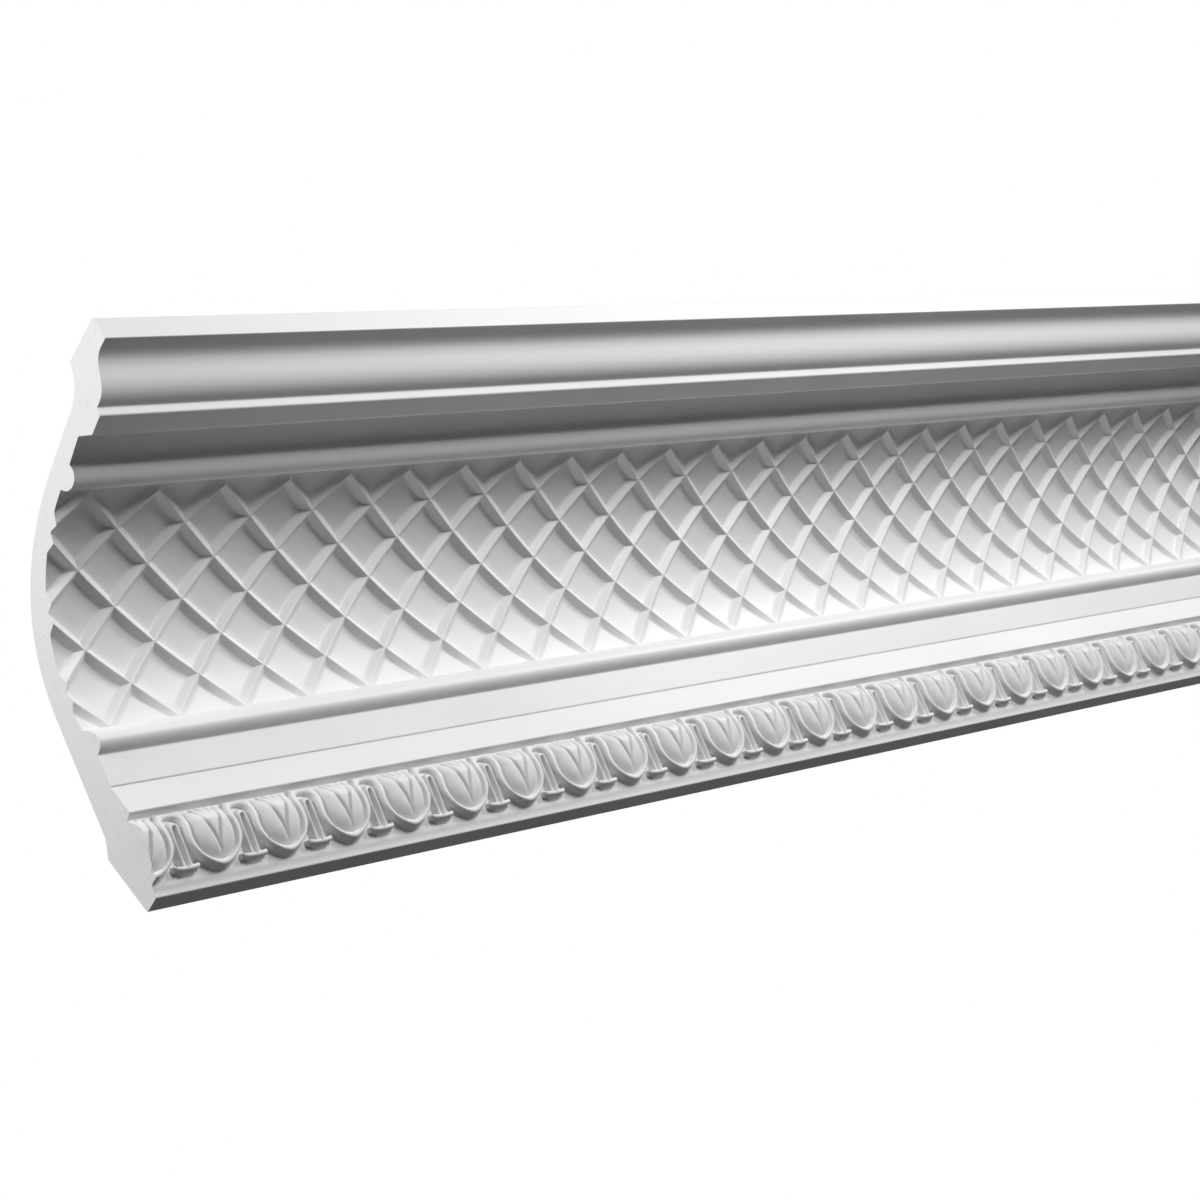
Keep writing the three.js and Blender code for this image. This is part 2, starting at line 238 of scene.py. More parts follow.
class CorniceSizes(bpy.types.PropertyGroup):
    """Sizes of the casting."""

    pitch: FloatProperty(
        name="Pitch",
        description="Width of one diamond, and of one egg with its dart",
        default=mm(45),
        unit="LENGTH",
    )
    length: FloatProperty(
        name="Length",
        description="Length between the sawn ends",
        default=CAD_BOX[1].x - CAD_BOX[0].x,
        unit="LENGTH",
    )
    arris: FloatProperty(
        name="Arris",
        description="How far the plain edges are softened",
        default=mm(0.6),
        unit="LENGTH",
    )
    frieze_line: FloatProperty(
        name="Frieze line",
        description="Depth of the line cut along the middle of the frieze",
        default=mm(0.7),
        unit="LENGTH",
    )
    rib: FloatProperty(
        name="Rib",
        description="Height of the lattice's ribs",
        default=mm(3.4),
        unit="LENGTH",
    )
    rib_head: FloatProperty(
        name="Rib head",
        description="Height of the ribs where they meet the upper bead",
        default=mm(3.1),
        unit="LENGTH",
    )
    rib_foot: FloatProperty(
        name="Rib foot",
        description="Height of the ribs where they run out into the lower bead",
        default=mm(1.2),
        unit="LENGTH",
    )
    cell_dish: FloatProperty(
        name="Cell dish",
        description="How much deeper a diamond is in its middle than in its corners",
        default=mm(0.35),
        unit="LENGTH",
    )
    cell_bow: FloatProperty(
        name="Cell bow",
        description="How much wider a rib's side is half way along, as a share",
        default=0.11,
        subtype="FACTOR",
    )
    leaf: FloatProperty(
        name="Leaf",
        description="Height of the leaf on an egg",
        default=mm(8),
        unit="LENGTH",
    )
    ribbon: FloatProperty(
        name="Ribbon",
        description="Height of the ribbon round an egg",
        default=mm(5.8),
        unit="LENGTH",
    )
    groove: FloatProperty(
        name="Groove",
        description="Depth of the groove between a leaf and its ribbon",
        default=mm(3.2),
        unit="LENGTH",
    )
    vein: FloatProperty(
        name="Vein",
        description="Depth of the two cuts that part a leaf",
        default=mm(3.6),
        unit="LENGTH",
    )
    dart: FloatProperty(
        name="Dart",
        description="Height of the darts",
        default=mm(4.4),
        unit="LENGTH",
    )
    slot: FloatProperty(
        name="Slot",
        description="How far the slot in a dart is cut below the ground",
        default=mm(2.6),
        unit="LENGTH",
    )
    bar: FloatProperty(
        name="Bar",
        description="Height of the bar that a dart stands on",
        default=mm(4.5),
        unit="LENGTH",
    )


class CorniceFinish(bpy.types.PropertyGroup):
    """Colours and surfaces of the casting."""

    coat: FloatVectorProperty(
        name="Coat",
        description="Matt white priming coat",
        default=(0.84, 0.84, 0.837),
        subtype="COLOR",
    )
    core: FloatVectorProperty(
        name="Core",
        description="Foam on the sawn ends",
        default=(0.82, 0.82, 0.812),
        subtype="COLOR",
    )
    back: FloatVectorProperty(
        name="Back",
        description="Bare moulded skin on the sides that are glued",
        default=(0.80, 0.79, 0.76),
        subtype="COLOR",
    )
    grain: FloatProperty(
        name="Grain",
        description="Height of the coat's fine grain",
        default=mm(0.03),
        unit="LENGTH",
    )
    pores: FloatProperty(
        name="Pores",
        description="Depth of the pores on the sawn ends",
        default=mm(0.12),
        unit="LENGTH",
    )


class CorniceStudio(bpy.types.PropertyGroup):
    """Floor, light and camera."""

    floor: FloatVectorProperty(
        name="Floor",
        description="Colour of the floor",
        default=(0.86, 0.86, 0.85),
        subtype="COLOR",
    )
    room: FloatProperty(
        name="Room",
        description="Height of the room, from its floor to the top of the cornice",
        default=2.6,
        unit="LENGTH",
    )
    floor_size: FloatProperty(
        name="Floor size",
        description="Length and width of the floor",
        default=60,
        unit="LENGTH",
    )
    key: FloatProperty(
        name="Key",
        description="Power of the light on the room side",
        default=12.5,
        unit="POWER",
    )
    side: FloatProperty(
        name="Side",
        description="Power of the light from the far end of the room side",
        default=72,
        unit="POWER",
    )
    fill: FloatProperty(
        name="Fill",
        description="Power of the light on the near sawn end",
        default=6,
        unit="POWER",
    )
    rear: FloatProperty(
        name="Rear",
        description="Strength of the light from behind",
        default=1.6,
    )
    ambient: FloatProperty(
        name="Ambient",
        description="Strength of the light from all round",
        default=0.045,
    )
    lens: FloatProperty(
        name="Lens",
        description="Focal length of the camera in millimetres",
        default=94.2,
    )


# Section

def bezier(start, pull, push, end, steps=CURVE_STEPS):
    """A curve with two handles, without its start."""
    share = np.linspace(0, 1, steps + 1)[1:, None]
    rest = 1 - share
    return rest**3 * start + 3 * rest**2 * share * pull + 3 * rest * share**2 * push + share**3 * end


def bend(start, pull, end):
    """A curve with one handle, without its start."""
    return bezier(start, start + (pull - start) * 2 / 3, end + (pull - end) * 2 / 3, end)


def cove_height(section):
    """Height of section places over the floor of the cove."""
    return COVE_RADIUS - np.hypot(*(section - COVE_CENTRE).T)


def upper_bead():
    """The upper bead's round, from the cove up."""
    to_cove = COVE_CENTRE - UPPER_BEAD_CENTRE
    gap = np.hypot(*to_cove)
    toward = math.atan2(to_cove[1], to_cove[0])
    cosine = (UPPER_BEAD_RADIUS**2 + gap**2 - COVE_RADIUS**2) / (2 * UPPER_BEAD_RADIUS * gap)
    turn = np.linspace(toward + math.acos(cosine), -UPPER_BEAD_START, MEETING_STEPS)
    return UPPER_BEAD_CENTRE + UPPER_BEAD_RADIUS * np.column_stack([np.cos(turn), np.sin(turn)])


def lower_bead():
    """The lower bead's round, from the cove down."""
    start = COVE_CENTRE - COVE_RADIUS * np.array([math.cos(COVE_FOOT), math.sin(COVE_FOOT)])
    return bezier(start, LOWER_BEAD_HEAD_PULL, LOWER_BEAD_FOOT_PULL, LOWER_BEAD_FOOT, MEETING_STEPS)


def bead_round(bead, rim):
    """The part of a bead that stands clear of a rim over the cove, in even steps."""
    clear = np.argmax(cove_height(bead) > rim)
    return bead[np.linspace(clear, len(bead) - 1, BEAD_STEPS).astype(int)]


def meeting(bead, height):
    """Section places on a bead's round at given heights over the cove."""
    heights = cove_height(bead)
    rising = slice(0, np.argmax(heights) + 1)
    height = np.atleast_1d(height)
    return np.column_stack([np.interp(height, heights[rising], bead[rising, axis]) for axis in range(2)])


def soften(outline, reach):
    """Rounds every arris of an outline, with a support line on each side of it."""
    made = [outline[0]]
    for before, corner, after in zip(outline, outline[1:], outline[2:]):
        ahead = after - corner
        behind = before - corner
        sizes = np.hypot(*behind), np.hypot(*ahead)
        cosine = -np.dot(behind, ahead) / (sizes[0] * sizes[1])
        if math.acos(min(1, max(-1, cosine))) < CORNER_TURN:
            made.append(corner)
            continue
        cut = min(reach, CORNER_SHARE * min(sizes))
        start = corner + behind / sizes[0] * cut
        end = corner + ahead / sizes[1] * cut
        made.append(corner + (start - corner) * SUPPORT_SHARE)
        for share in np.linspace(0, 1, CORNER_STEPS + 1):
            made.append((1 - share) ** 2 * start + 2 * share * (1 - share) * corner + share**2 * end)
        made.append(corner + (end - corner) * SUPPORT_SHARE)
    made.append(outline[-1])
    return np.array(made)


def back_run():
    """The outline from the foot of the egg band round the back and the ceiling to the upper bead."""
    return np.vstack([
        ground_place(EGG_BAND, 0),
        EGG_GROUND_FOOT,
        WALL_FOOT,
        WALL_HEAD,
        CHAMFER_HEAD,
        BACK_LOW,
        bend(BACK_LOW, BACK_PULL, BACK_HIGH),
        BACK_TOP,
        bend(BACK_TOP, BACK_TOP_PULL, CEILING_BACK),
        CEILING_FRONT,
        FILLET_FOOT,
        CYMA_HEAD,
        bezier(CYMA_HEAD, CYMA_HEAD_PULL, CYMA_FOOT_PULL, CYMA_FOOT),
        DRIP_FRONT,
        DRIP_BACK,
        QUIRK,
        bead_round(upper_bead(), UPPER_RIM)[::-1],
    ])


def frieze_run(depth):
    """The outline from the lower bead down to the head of the egg band."""
    up = (FRIEZE_HEAD - FRIEZE_MIDDLE) / np.hypot(*(FRIEZE_HEAD - FRIEZE_MIDDLE))
    inward = np.array([up[1], -up[0]])
    return np.vstack([
        bead_round(lower_bead(), LOWER_RIM),
        FRIEZE_HEAD,
        FRIEZE_MIDDLE + up * depth,
        FRIEZE_MIDDLE + inward * depth,
        FRIEZE_MIDDLE - up * depth,
        FRIEZE_FOOT,
        EGG_GROUND_HEAD,
    ])


# Carving

def quarter(share):
    """A quarter round: steep at 0, level from 1 on."""
    return np.sqrt(1 - (1 - np.clip(share, 0, 1)) ** 2)


def dome(share, power=2):
    """A half round, or a squarer one, with its foot at 1."""
    return np.clip(1 - np.abs(share) ** power, 0, None) ** (1 / power)


def blended(first, second):
    """The higher of two heights, with a soft inner corner."""
    near = np.clip(BLEND - np.abs(first - second), 0, None)
    return np.maximum(first, second) + near**2 / (4 * BLEND)


def spline(points):
    """A smooth line through points."""
    ends = [2 * points[0] - points[1], *points, 2 * points[-1] - points[-2]]
    share = np.linspace(0, 1, LINE_STEPS, endpoint=False)[:, None]
    pieces = []
    for before, start, end, after in zip(ends, ends[1:], ends[2:], ends[3:]):
        pull = (end - before) / 2
        push = (after - start) / 2
        swing = 3 * (end - start) - 2 * pull - push
        turn = 2 * (start - end) + pull + push
        pieces.append(((turn * share + swing) * share + pull) * share + start)
    return np.vstack([*pieces, points[-1:]])


def nearest(along, down, line):
    """Distance of each place from a line, and how far along the line its nearest point is."""
    gaps = np.hypot(along[..., None] - line[:, 0], down[..., None] - line[:, 1])
    return gaps.min(-1), gaps.argmin(-1) / (len(line) - 1)


def ground_place(down, height):
    """Section place at a distance down the egg band's ground and a height over it."""
    slope = (EGG_GROUND_FOOT - EGG_GROUND_HEAD) / np.hypot(*(EGG_GROUND_FOOT - EGG_GROUND_HEAD))
    out = EGG_GROUND_HEAD[0] + down * slope[0] + height * slope[1]
    drop = EGG_GROUND_HEAD[1] + down * slope[1] - height * slope[0]
    return np.column_stack([np.atleast_1d(out), np.atleast_1d(drop)])


def leaf_height(down, sizes):
    """Height of a leaf's middle."""
    rise = np.sin(math.pi / 2 * np.clip(down / LEAF_RISE, 0, 1))
    sink = np.clip((down - LEAF_RISE) / (EGG_FOOT - LEAF_RISE), 0, None)
    return sizes.leaf * (rise - LEAF_SINK * sink**2)


def ribbon_height(down, sizes):
    """Height of a ribbon's crest."""
    rise = np.sin(math.pi / 2 * np.clip((down + RIBBON_RISE_START) / RIBBON_RISE, 0, 1))
    sink = np.clip(2 * down / EGG_FOOT - 1, 0, None)
    return sizes.ribbon * (rise - RIBBON_SINK * sink**2)


def leaf_relief(along, down, sizes):
    """Height of an egg's leaf, and how far out each place lies from the leaf's edge."""
    edge = spline(LEAF_EDGE)
    gap, _ = nearest(along, down, edge)
    inside = along < np.interp(down, edge[:, 1], edge[:, 0], right=0)
    foot = ribbon_height(down, sizes) - sizes.groove
    leaf = foot + (leaf_height(down, sizes) - foot) * quarter(gap / LEAF_ROUND)
    for path, lip, depth in ((VEIN_PATH, VEIN_LIP, 1), (NOTCH_PATH, NOTCH_LIP, NOTCH_DEPTH)):
        away, share = nearest(along, down, spline(path))
        leaf -= depth * sizes.vein * (1 - share**VEIN_FADE) * (1 - quarter(away / lip))
    return np.where(inside, leaf, 0), np.where(inside, 0, gap)


def ribbon_relief(along, down, off_leaf, sizes):
    """Height of the ribbon round an egg."""
    mirrors = []
    for place, after in ((0, 1), (-1, -2)):
        mirrors.append(RIBBON_PATH[place] + (RIBBON_PATH[place] - RIBBON_PATH[after]) * (1, -1))
    line = spline(np.vstack([mirrors[0], RIBBON_PATH, mirrors[1]]))
    gap, share = nearest(along, down, line)
    side = line[LINE_STEPS:-LINE_STEPS]
    outer = along >= np.interp(down, side[:, 1], side[:, 0], right=0)
    low = np.interp(share, np.linspace(0, 1, len(line)), line[:, 1])
    crest = ribbon_height(low, sizes)
    wall = np.clip(low / EGG_FOOT, 0, 1) ** TIP_POWER * np.clip(1 - gap / TIP_FOOT, 0, 1)
    outside = crest * np.maximum(dome(gap / RIBBON_FOOT, RIBBON_POWER), wall)
    inside = crest - sizes.groove * (1 - quarter(off_leaf / RIBBON_SHOULDER))
    return np.where(outer, outside, np.where(off_leaf > 0, inside, 0))


def dart_relief(along, down, sizes):
    """Height of a dart with its bar and the wedge below it."""
    across = along - RIBBON_PATH[0, 0]
    head = DART_HEAD + DART_HALF_WIDTH
    radius = np.hypot(across, np.minimum(down - head, 0))
    share = np.clip((down - DART_HOLLOW[0]) / (DART_HOLLOW[1] - DART_HOLLOW[0]), 0, 1)
    hollow = DART_HOLLOW_HALF_WIDTH * np.sin(math.pi * share) ** DART_HOLLOW_POWER
    leg = (radius - (DART_HALF_WIDTH + hollow) / 2) / ((DART_HALF_WIDTH - hollow) / 2)
    dart = np.where(down < DART_FOOT, sizes.dart * dome(leg), 0)
    in_slot = (leg < -1) & (down < DART_FOOT)
    cut = np.where(in_slot, sizes.slot * dome(radius / np.maximum(hollow, WELD)), 0)
    middle = BAR_MIDDLE - BAR_BOW * (across / BAR_HALF_WIDTH) ** 2
    bar = sizes.bar * dome((down - middle) / BAR_HALF_DEPTH, BAR_POWER)
    bar *= dome(across / BAR_HALF_WIDTH, END_POWER)
    fall = np.clip((down - BAR_MIDDLE) / (WEDGE_FOOT - BAR_MIDDLE), 0, 1)
    half = WEDGE_HALF_WIDTH[0] + (WEDGE_HALF_WIDTH[1] - WEDGE_HALF_WIDTH[0]) * fall
    wedge = sizes.bar * (1 - fall) * dome(across / half, WEDGE_POWER)
    return blended(blended(dart, bar), np.where(down > BAR_MIDDLE, wedge, 0)) - cut


def egg_relief(along, down, sizes):
    """Height of the egg and dart over its ground, from an egg's middle to a dart's."""
    leaf, off_leaf = leaf_relief(along, down, sizes)
    ribbon = ribbon_relief(along, down, off_leaf, sizes)
    egg = np.clip(np.maximum(leaf, ribbon), 0, None)
    height = blended(egg, dart_relief(along, down, sizes))
    return height * quarter(down / TOP_FADE) * (down < EGG_BAND - GRID_STEP / 2)


# One repeat

class Skin:
    """Points and faces of one repeat, gathered run by run."""

    def __init__(self):
        self.points = []
        self.faces = []

    def add(self, along, section):
        """Adds points by their distance along and their section place; returns their numbers."""
        first = len(self.points)
        for x, (out, drop) in zip(along, section):
            self.points.append((x, -out, WALL_FACE_MIDDLE - drop))
        return list(range(first, len(self.points)))

    def strip(self, above, below):
        """Fills between two lines of points, each running the same way."""
        if len(above) != len(below):
            self.faces.append([*above, *reversed(below)])
            return
        for place in range(len(above) - 1):
            self.faces.append([above[place], above[place + 1], below[place + 1], below[place]])


def carved_grid(sizes):
    """A fine grid over one half of an egg and dart, raised by its carving."""
    columns = round(sizes.pitch / 2 / GRID_STEP) + 1
    rows = round(EGG_BAND / GRID_STEP) + 1
    along, down = np.meshgrid(np.linspace(0, sizes.pitch / 2, columns), np.linspace(0, EGG_BAND, rows))
    height = egg_relief(along, down, sizes)
    places = np.column_stack([along.ravel(), down.ravel(), height.ravel()])
    number = np.arange(rows * columns).reshape(rows, columns)
    corners = (number[:-1, :-1], number[:-1, 1:], number[1:, 1:], number[1:, :-1])
    faces = np.column_stack([corner.ravel() for corner in corners])
    mesh = bpy.data.meshes.new("half_egg")
    mesh.from_pydata(places.tolist(), [], faces.tolist())
    return mesh


def thinned(mesh, count):
    """Points and triangles of a grid, thinned out where it is flat to about so many triangles."""
    holder = bpy.data.objects.new(mesh.name, mesh)
    bpy.context.scene.collection.objects.link(holder)
    thin = holder.modifiers.new("Thin", "DECIMATE")
    thin.ratio = count / (2 * len(mesh.polygons))
    thin.use_collapse_triangulate = True
    made = holder.evaluated_get(bpy.context.evaluated_depsgraph_get()).to_mesh()
    points = np.array([vertex.co[:] for vertex in made.vertices])
    triangles = np.array([face.vertices[:] for face in made.polygons])
    bpy.data.objects.remove(holder)
    bpy.data.meshes.remove(mesh)
    return points, triangles


def half_egg(sizes):
    """Points and triangles of one half of an egg and dart, with its rim set straight."""
    points, triangles = thinned(carved_grid(sizes), HALF_EGG_FACES)
    sides = np.sort(np.vstack([triangles[:, [0, 1]], triangles[:, [1, 2]], triangles[:, [2, 0]]]))
    sides, uses = np.unique(sides, axis=0, return_counts=True)
    rim = np.unique(sides[uses == 1])
    for axis, line in ((0, 0), (0, sizes.pitch / 2), (1, 0), (1, EGG_BAND)):
        points[rim[np.abs(points[rim, axis] - line) < RIM_REACH], axis] = line
        triangles = triangles[(points[triangles, axis] != line).any(1)]
    points[(points[:, 1] == 0) | (points[:, 1] == EGG_BAND), 2] = 0
    used, triangles = np.unique(triangles, return_inverse=True)
    return points[used], triangles.reshape(-1, 3)


def add_eggs(skin, sizes):
    """Adds one egg with half a dart on each side; returns its top and bottom lines."""
    points, triangles = half_egg(sizes)
    lines = {0: {}, EGG_BAND: {}}
    middle = {}
    for side in (1, -1):
        numbers = skin.add(side * points[:, 0], ground_place(points[:, 1], points[:, 2]))
        for place, number in enumerate(numbers):
            along, down, _ = points[place]
            if along == 0:
                numbers[place] = middle.setdefault(place, number)
            if down in lines:
                lines[down][side * along] = numbers[place]
        for triangle in triangles:
            face = [numbers[place] for place in triangle]
            skin.faces.append(face if side > 0 else face[::-1])
    return [[line[along] for along in sorted(line)] for line in lines.values()]


def cell_ring(inset, bow):
    """Cell places round a diamond at an inset from its ribs' crests."""
    shares = np.arange(CELL_STEPS) / CELL_STEPS
    run = inset + shares * (1 - 2 * inset)
    rise = inset * (1 + bow * 4 * shares * (1 - shares))
    sides = ((run, rise), (1 - rise, run), (1 - run, 1 - rise), (rise, 1 - run))
    return np.vstack([np.column_stack(side) for side in sides])


def cell_floor(inset, bow):
    """Cell places over a diamond's floor, row by row."""
    shares = np.linspace(0, 1, CELL_STEPS + 1)
    first, second = np.meshgrid(shares, shares, indexing="ij")
    swell = inset * bow * 4
    a = inset + first * (1 - 2 * inset) + swell * second * (1 - second) * (1 - 2 * first)
    b = inset + second * (1 - 2 * inset) + swell * first * (1 - first) * (1 - 2 * second)
    deep = 1 - (2 * first - 1) ** 2 * (2 * second - 1) ** 2
    return a, b, deep


def cell_patch(sizes):
    """One diamond: places (two shares and a rib and dish share) and its faces."""
    places = []
    faces = []
    around = 4 * CELL_STEPS
    steps = np.arange(around) % CELL_STEPS / CELL_STEPS
    dish = 1 - (2 * steps - 1) ** 2
    for inset, rib in RIB_PROFILE:
        ring = cell_ring(inset * RIB_MITRE, sizes.cell_bow)
        fall = inset / RIB_PROFILE[-1][0]
        places.extend((a, b, rib, fall * deep) for (a, b), deep in zip(ring, dish))
    for ring in range(len(RIB_PROFILE) - 1):
        for place in range(around):
            corner = ring * around + place
            after = ring * around + (place + 1) % around
            faces.append([corner, after, after + around, corner + around])
    a, b, deep = cell_floor(RIB_PROFILE[-1][0] * RIB_MITRE, sizes.cell_bow)
    first = len(places)
    places.extend(zip(a.ravel(), b.ravel(), np.zeros(a.size), deep.ravel()))
    side = CELL_STEPS + 1
    for i in range(CELL_STEPS):
        for j in range(CELL_STEPS):
            corner = first + i * side + j
            faces.append([corner, corner + side, corner + side + 1, corner + 1])
    return places, faces


def lattice_rows(sizes):
    """The lattice's points (along, row, height) and faces over one pitch."""
    places, faces = cell_patch(sizes)
    start = LATTICE_START * sizes.pitch - EGG_SHIFT - sizes.pitch
    points = {}
    made = []
    for middle_row in range(LATTICE_ROWS + 1):
        middle = start + (0 if middle_row % 2 else sizes.pitch / 2)
        for face in faces:
            corners = {}
            for a, b, rib, dish in (places[place] for place in face):
                row = middle_row - 1 + a + b
                if not -WELD < row < LATTICE_ROWS + WELD:
                    continue
                full = np.clip(min(row, LATTICE_ROWS - row), 0, 1)
                end = sizes.rib_head if row < 1 else sizes.rib_foot
                height = rib * (end + (sizes.rib - end) * full)
                along = middle + (a - b) * sizes.pitch / 2
                key = (round(along / WELD), round(row / WELD))
                entry = (len(points), along, row, height - sizes.cell_dish * dish * full)
                corners[points.setdefault(key, entry)[0]] = True
            if len(corners) > 2:
                made.append(list(corners))
    return np.array([entry[1:] for entry in points.values()]), made


def add_lattice(skin, sizes):
    """Adds the lattice over one pitch; returns its top and bottom lines with their heights."""
    places, faces = lattice_rows(sizes)
    along, row, height = places.T
    turn = COVE_TOP - row * LATTICE_STEP
    radius = COVE_RADIUS - height
    section = COVE_CENTRE - np.column_stack([radius * np.cos(turn), radius * np.sin(turn)])
    low = np.abs(row - LATTICE_ROWS) < WELD
    section[low] = meeting(lower_bead(), height[low])
    numbers = skin.add(along, section)
    for face in faces:
        skin.faces.append([numbers[place] for place in face])
    lines = []
    for edge in (np.abs(row) < WELD, low):
        order = np.flatnonzero(edge)[np.argsort(along[edge])]
        lines.append(([numbers[place] for place in order], along[order], height[order]))
    return lines


def add_run(skin, outline, half):
    """Adds straight lines of two points for an outline; returns the lines."""
    return [skin.add((-half, half), (place, place)) for place in outline]


def repeat_mesh(sizes):
    """One pitch of the casting, open at both ends."""
    skin = Skin()
    half = sizes.pitch / 2
    egg_head, egg_foot = add_eggs(skin, sizes)
    top, bottom = add_lattice(skin, sizes)

    frieze = soften(frieze_run(sizes.frieze_line), sizes.arris)
    rim = meeting(lower_bead(), LOWER_RIM)
    front = [bottom[0], skin.add(bottom[1], np.repeat(rim, len(bottom[1]), 0))]
    front += add_run(skin, frieze[:-1], half) + [egg_head]
    outer = soften(back_run(), sizes.arris)
    back = [egg_foot] + add_run(skin, outer[1:], half)
    rim = meeting(upper_bead(), UPPER_RIM)
    back.append(skin.add(top[1], np.repeat(rim, len(top[1]), 0)))
    back.append(skin.add(top[1], meeting(upper_bead(), HEM_FALL * top[2])))
    back.append(top[0])
    for run in (front, back):
        for above, below in zip(run, run[1:]):
            skin.strip(above, below)
    mesh = bpy.data.meshes.new("cornice_repeat")
    mesh.from_pydata(skin.points, [], skin.faces)
    return mesh


# Repeats

def socket(tree, name, kind, default):
    """Adds a named input to a node tree."""
    made = tree.interface.new_socket(name=name, in_out="INPUT", socket_type=kind)
    made.default_value = default
    return made.identifier


def repeat_tree(material):
    """A node tree that sets repeats in a row and welds them."""
    tree = bpy.data.node_groups.new("Repeat along", "GeometryNodeTree")
    tree.interface.new_socket(name="Geometry", in_out="INPUT", socket_type="NodeSocketGeometry")
    names = {
        "Count": socket(tree, "Count", "NodeSocketInt", 1),
        "Start": socket(tree, "Start", "NodeSocketVector", (0, 0, 0)),
        "Step": socket(tree, "Step", "NodeSocketVector", (0, 0, 0)),
        "Weld": socket(tree, "Weld", "NodeSocketFloat", WELD),
    }
    tree.interface.new_socket(name="Geometry", in_out="OUTPUT", socket_type="NodeSocketGeometry")
    entry = tree.nodes.new("NodeGroupInput")
    line = tree.nodes.new("GeometryNodeMeshLine")
    copies = tree.nodes.new("GeometryNodeInstanceOnPoints")
    real = tree.nodes.new("GeometryNodeRealizeInstances")
    weld = tree.nodes.new("GeometryNodeMergeByDistance")
    paint = tree.nodes.new("GeometryNodeSetMaterial")
    leave = tree.nodes.new("NodeGroupOutput")
    paint.inputs["Material"].default_value = material
    for start, end in (
        (entry.outputs["Count"], line.inputs["Count"]),
        (entry.outputs["Start"], line.inputs["Start Location"]),
        (entry.outputs["Step"], line.inputs["Offset"]),
        (line.outputs["Mesh"], copies.inputs["Points"]),
        (entry.outputs["Geometry"], copies.inputs["Instance"]),
        (copies.outputs["Instances"], real.inputs["Geometry"]),
        (real.outputs["Geometry"], weld.inputs["Geometry"]),
        (entry.outputs["Weld"], weld.inputs["Distance"]),
        (weld.outputs["Geometry"], paint.inputs["Geometry"]),
        (paint.outputs["Geometry"], leave.inputs["Geometry"]),
    ):
        tree.links.new(start, end)
    return tree, names


def repeated(mesh, count, start, step, material):
    """A plain mesh of so many copies of a mesh in a row."""
    holder = bpy.data.objects.new(mesh.name, mesh)
    bpy.context.scene.collection.objects.link(holder)
    tree, names = repeat_tree(material)
    row = holder.modifiers.new("Repeat along", "NODES")
    row.node_group = tree
    row[names["Count"]] = count
    row[names["Start"]] = start
    row[names["Step"]] = step
    row[names["Weld"]] = WELD
    graph = bpy.context.evaluated_depsgraph_get()
    made = bpy.data.meshes.new_from_object(holder.evaluated_get(graph), depsgraph=graph)
    bpy.data.objects.remove(holder)
    bpy.data.meshes.remove(mesh)
    return made


def saw(mesh, length):
    """Cuts a run square at both ends, closes it and sorts its faces into material slots."""
    work = bmesh.new()
    work.from_mesh(mesh)
    for side in (-1, 1):
        bmesh.ops.bisect_plane(
            work,
            geom=[*work.verts, *work.edges, *work.faces],
            plane_co=(side * length / 2, 0, 0),
            plane_no=(side, 0, 0),
            clear_outer=True,
        )
    rims = [edge for edge in work.edges if edge.is_boundary]
    caps = bmesh.ops.holes_fill(work, edges=rims, sides=0)["faces"]
    if len(caps) != 2 or any(not edge.is_manifold for edge in work.edges):
        raise RuntimeError("the casting's ends do not close")
    bmesh.ops.recalc_face_normals(work, faces=work.faces)
    for face in work.faces:
        face.smooth = True
        face.material_index = BACK if face.normal.y + face.normal.z > BACK_TURN else COAT
    for cap in caps:
        cap.material_index = CORE
        cap.smooth = False
    bmesh.ops.triangulate(work, faces=[face for face in work.faces if len(face.verts) > 4])
    work.to_mesh(mesh)
    work.free()
    mesh.set_sharp_from_angle(angle=SMOOTH_ANGLE)


# Materials

def shader(name, colour, roughness):
    """A new material; returns it, its nodes, its links and its main shader."""
    material = bpy.data.materials.new(name)
    material.use_nodes = True
    nodes = material.node_tree.nodes
    main_shader = nodes["Principled BSDF"]
    main_shader.inputs["Base Color"].default_value = (*colour, 1)
    main_shader.inputs["Roughness"].default_value = roughness
    return material, nodes, material.node_tree.links, main_shader


def texture(nodes, links, kind, scale, **settings):
    """A procedural texture on the object's own coordinates."""
    place = nodes.new("ShaderNodeTexCoord")
    made = nodes.new(kind)
    made.inputs["Scale"].default_value = scale
    for name, value in settings.items():
        made.inputs[name].default_value = value
    links.new(place.outputs["Object"], made.inputs["Vector"])
    return made


def remap(nodes, links, source, span, to_span=(0, 1)):
    """Stretches a value from one span to another."""
    made = nodes.new("ShaderNodeMapRange")
    for name, value in zip(("From Min", "From Max", "To Min", "To Max"), (*span, *to_span)):
        made.inputs[name].default_value = value
    links.new(source, made.inputs["Value"])
    return made.outputs["Result"]


def tint(nodes, links, share, colour, darker):
    """Drifts a colour toward a darker one by a share."""
    ramp = nodes.new("ShaderNodeValToRGB")
    first, last = ramp.color_ramp.elements
    first.color = (*colour, 1)
    last.color = (*(part * darker for part in colour), 1)
    links.new(share, ramp.inputs["Fac"])
    return ramp.outputs["Color"]


def bump(nodes, links, height, depth, below=None):
    """Raises a surface by a height texture."""
    made = nodes.new("ShaderNodeBump")
    made.inputs["Distance"].default_value = depth
    links.new(height, made.inputs["Height"])
    if below:
        links.new(below, made.inputs["Normal"])
    return made.outputs["Normal"]


